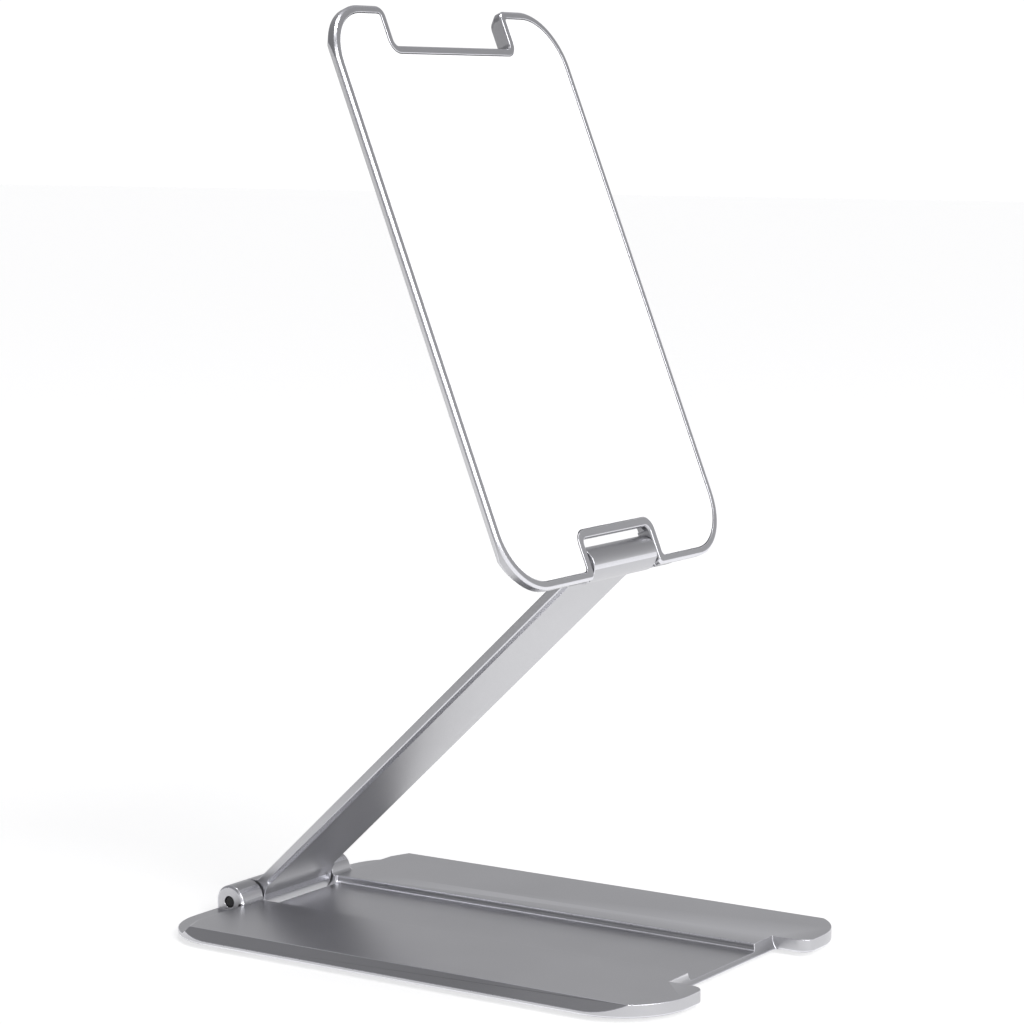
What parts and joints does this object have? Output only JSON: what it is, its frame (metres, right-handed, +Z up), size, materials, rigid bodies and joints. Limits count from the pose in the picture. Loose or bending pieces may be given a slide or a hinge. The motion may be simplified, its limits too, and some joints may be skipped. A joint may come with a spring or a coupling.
{
  "type": "tablet stand",
  "caption": "Folding tablet stand: flat notched base plate, swinging flat arm and tilting notched head plate with a white pad, joined by two barrel hinges.",
  "frame": {"origin": "on the table, under the middle of the base's length and width", "axes": "+Z up; -Y is the user's side, where the head faces; +Y is the rear, where the base hinge is; X runs along both hinge lines"},
  "size_m": [0.1, 0.1446, 0.2279],
  "materials": {
    "base_plate_aluminium": "bead-blasted, anodised satin grey",
    "support_arm_aluminium": "bead-blasted, anodised satin grey",
    "head_plate_aluminium": "bead-blasted, anodised satin grey",
    "foot_silicone": "matt silicone rubber",
    "hinge_steel": "ground steel",
    "friction_bronze": "plain bronze",
    "plug_black": "black plastic",
    "gel_pad_silicone": "smooth white silicone gel",
    "adhesive_film": "double-sided adhesive film"
  },
  "bodies": {
    "base": {"base_plate": "base_plate_aluminium", "foot_front_left": "foot_silicone", "foot_front_right": "foot_silicone", "foot_rear_left": "foot_silicone", "foot_rear_right": "foot_silicone", "base_hinge_pin": "hinge_steel", "base_washer_left": "hinge_steel", "base_washer_right": "hinge_steel", "base_plug_left": "plug_black", "base_plug_right": "plug_black"},
    "arm": {"support_arm": "support_arm_aluminium", "base_sleeve_left": "friction_bronze", "base_sleeve_right": "friction_bronze", "head_sleeve_left": "friction_bronze", "head_sleeve_right": "friction_bronze"},
    "head": {"head_plate": "head_plate_aluminium", "gel_pad": "gel_pad_silicone", "pad_adhesive": "adhesive_film", "head_hinge_pin": "hinge_steel", "head_washer_left": "hinge_steel", "head_washer_right": "hinge_steel", "head_plug_left": "plug_black", "head_plug_right": "plug_black"}
  },
  "joints": [
    {"name": "base_hinge", "type": "hinge", "parent": "base", "child": "arm", "pos_m": [0, 0.06805, 0.00449], "axis": [-1, 0, 0], "range_deg": [-40.5, 47]},
    {"name": "head_hinge", "type": "hinge", "parent": "arm", "child": "head", "pos_m": [0, -0.03105, 0.09709], "axis": [1, 0, 0], "range_deg": [-109, 69]}
  ]
}
